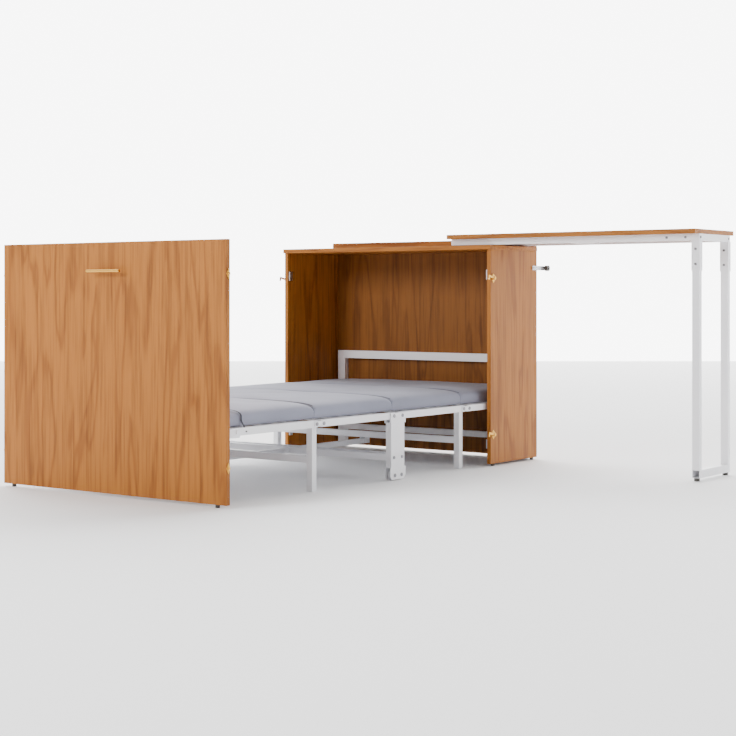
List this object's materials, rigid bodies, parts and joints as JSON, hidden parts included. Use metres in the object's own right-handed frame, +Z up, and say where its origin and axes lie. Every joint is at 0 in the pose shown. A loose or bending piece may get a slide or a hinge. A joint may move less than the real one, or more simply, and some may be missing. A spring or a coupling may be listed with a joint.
{
  "type": "fold-out cabinet bed with sliding desk",
  "caption": "Low wooden cabinet whose slatted bed frame folds out in sections on legs and casters behind a door panel, with a desk that slides out from its top.",
  "frame": {"origin": "centre of the footprint on the floor, bed and desk both out", "axes": "+Z up, +Y from the door towards the cabinet back, +X along the desk's slide outwards"},
  "size_m": [2.02, 2.112, 0.953],
  "materials": {
    "oak": "laminated oak with satin finish",
    "white_coat": "off-white powder coat",
    "brass": "satin brass",
    "zinc": "zinc plated",
    "bolt_steel": "dark plated bolts",
    "dark_plastic": "matte moulded plastic",
    "caster_grey": "light grey moulded wheels",
    "grey_fabric": "woven grey cover"
  },
  "bodies": {
    "cabinet": {"right_side_panel": "oak", "left_side_panel": "oak", "top_panel": "oak", "back_panel": "oak", "rear_upstand": "oak", "cabinet_feet": "dark_plastic", "hook_plates": "brass", "panel_catches": "zinc", "desk_guides": "dark_plastic", "wall_strap": "zinc", "wall_knob": "dark_plastic", "head_frame": "white_coat"},
    "desk": {"desk_board": "oak", "desk_side_rails": "white_coat", "desk_legs": "white_coat", "desk_leg_sleeves": "white_coat", "desk_bolts": "bolt_steel", "desk_feet": "dark_plastic", "desk_cross_bars": "white_coat"},
    "centre": {"centre_posts": "white_coat", "centre_saddles": "white_coat", "caster_forks": "white_coat", "caster_axles": "zinc", "centre_bolts": "zinc", "centre_cross_tubes": "white_coat"},
    "door": {"foot_frame": "white_coat", "door_panel": "oak", "door_handle": "brass", "door_eyes": "brass", "door_feet": "dark_plastic"},
    "link_head_bar": {"link_head": "white_coat"},
    "link_foot_bar": {"link_foot": "white_coat"},
    "outer_head": {"outer_head_rails": "white_coat", "outer_head_slats": "white_coat", "outer_head_mattress": "grey_fabric"},
    "inner_head": {"inner_head_rails": "white_coat", "inner_head_slats": "white_coat", "inner_head_mattress": "grey_fabric"},
    "inner_foot": {"inner_foot_rails": "white_coat", "inner_foot_slats": "white_coat", "inner_foot_mattress": "grey_fabric"},
    "outer_foot": {"outer_foot_rails": "white_coat", "outer_foot_slats": "white_coat", "outer_foot_mattress": "grey_fabric"},
    "leg_a": {"leg_a_posts": "white_coat", "leg_a_hinge_plates": "white_coat", "leg_a_cross_tube": "white_coat", "leg_a_pins": "zinc"},
    "leg_b": {"leg_b_posts": "white_coat", "leg_b_hinge_plates": "white_coat", "leg_b_cross_tube": "white_coat", "leg_b_pins": "zinc"},
    "wheel_right_front": {"caster_wheel_right_front": "caster_grey"},
    "wheel_right_rear": {"caster_wheel_right_rear": "caster_grey"},
    "hook_right_upper": {"hook_arm_right_upper": "brass"},
    "hook_right_lower": {"hook_arm_right_lower": "brass"},
    "wheel_left_front": {"caster_wheel_left_front": "caster_grey"},
    "wheel_left_rear": {"caster_wheel_left_rear": "caster_grey"},
    "hook_left_upper": {"hook_arm_left_upper": "brass"},
    "hook_left_lower": {"hook_arm_left_lower": "brass"}
  },
  "joints": [
    {"name": "head_fold", "type": "hinge", "parent": "cabinet", "child": "outer_head", "pos_m": [-0.453, 0.918, 0.2445], "axis": [-1, 0, 0], "range_deg": [0, 86.2], "deforming": ["outer_head_mattress", "inner_head_mattress", "inner_foot_mattress", "outer_foot_mattress"]},
    {"name": "leg_a_swing", "type": "hinge", "parent": "outer_head", "child": "leg_a", "pos_m": [-0.453, 0.488, 0.2445], "axis": [-1, 0, 0], "range_deg": [-86.2, 0]},
    {"name": "inner_head_fold", "type": "hinge", "parent": "leg_a", "child": "inner_head", "pos_m": [-0.453, 0.448, 0.2445], "axis": [-1, 0, 0], "range_deg": [-86.2, 0]},
    {"name": "centre_swing", "type": "hinge", "parent": "inner_head", "child": "centre", "pos_m": [-0.453, 0.018, 0.2445], "axis": [-1, 0, 0], "range_deg": [0, 86.2]},
    {"name": "inner_foot_fold", "type": "hinge", "parent": "centre", "child": "inner_foot", "pos_m": [-0.453, -0.036, 0.2445], "axis": [-1, 0, 0], "range_deg": [0, 86.2]},
    {"name": "leg_b_swing", "type": "hinge", "parent": "inner_foot", "child": "leg_b", "pos_m": [-0.453, -0.466, 0.2445], "axis": [-1, 0, 0], "range_deg": [-86.2, 0]},
    {"name": "outer_foot_fold", "type": "hinge", "parent": "leg_b", "child": "outer_foot", "pos_m": [-0.453, -0.506, 0.2445], "axis": [-1, 0, 0], "range_deg": [-86.2, 0]},
    {"name": "door_swing", "type": "hinge", "parent": "outer_foot", "child": "door", "pos_m": [-0.453, -0.936, 0.2445], "axis": [-1, 0, 0], "range_deg": [0, 86.2]},
    {"name": "link_head_turn", "type": "hinge", "parent": "centre", "child": "link_head_bar", "pos_m": [-0.453, 0.048, 0.087], "axis": [-1, 0, 0], "range_deg": [-86.2, 0]},
    {"name": "link_foot_turn", "type": "hinge", "parent": "centre", "child": "link_foot_bar", "pos_m": [-0.453, -0.066, 0.087], "axis": [-1, 0, 0], "range_deg": [0, 86.2]},
    {"name": "wheel_spin_right_front", "type": "hinge", "parent": "centre", "child": "wheel_right_front", "pos_m": [0.05, -0.0305, 0.019], "axis": [-1, 0, 0], "continuous": true},
    {"name": "wheel_spin_right_rear", "type": "hinge", "parent": "centre", "child": "wheel_right_rear", "pos_m": [0.05, 0.0125, 0.019], "axis": [-1, 0, 0], "continuous": true},
    {"name": "hook_swing_right_upper", "type": "hinge", "parent": "cabinet", "child": "hook_right_upper", "pos_m": [0.1006, 0.623, 0.772], "axis": [-1, 0, 0], "range_deg": [-12, 60]},
    {"name": "hook_swing_right_lower", "type": "hinge", "parent": "cabinet", "child": "hook_right_lower", "pos_m": [0.1006, 0.623, 0.13], "axis": [-1, 0, 0], "range_deg": [-12, 60]},
    {"name": "wheel_spin_left_front", "type": "hinge", "parent": "centre", "child": "wheel_left_front", "pos_m": [-0.956, -0.0305, 0.019], "axis": [-1, 0, 0], "continuous": true},
    {"name": "wheel_spin_left_rear", "type": "hinge", "parent": "centre", "child": "wheel_left_rear", "pos_m": [-0.956, 0.0125, 0.019], "axis": [-1, 0, 0], "continuous": true},
    {"name": "hook_swing_left_upper", "type": "hinge", "parent": "cabinet", "child": "hook_left_upper", "pos_m": [-1.0066, 0.623, 0.772], "axis": [-1, 0, 0], "range_deg": [-12, 60]},
    {"name": "hook_swing_left_lower", "type": "hinge", "parent": "cabinet", "child": "hook_left_lower", "pos_m": [-1.0066, 0.623, 0.13], "axis": [-1, 0, 0], "range_deg": [-12, 60]},
    {"name": "desk_slide", "type": "slide", "parent": "cabinet", "child": "desk", "axis": [1, 0, 0], "range_m": [-0.85, 0]}
  ],
  "couplings": [
    {"joint": "leg_a_swing", "follows": "head_fold", "ratio": -1},
    {"joint": "inner_head_fold", "follows": "head_fold", "ratio": -1},
    {"joint": "centre_swing", "follows": "head_fold", "ratio": 1},
    {"joint": "inner_foot_fold", "follows": "head_fold", "ratio": 1},
    {"joint": "leg_b_swing", "follows": "head_fold", "ratio": -1},
    {"joint": "outer_foot_fold", "follows": "head_fold", "ratio": -1},
    {"joint": "door_swing", "follows": "head_fold", "ratio": 1},
    {"joint": "link_head_turn", "follows": "head_fold", "ratio": -1},
    {"joint": "link_foot_turn", "follows": "head_fold", "ratio": 1}
  ]
}
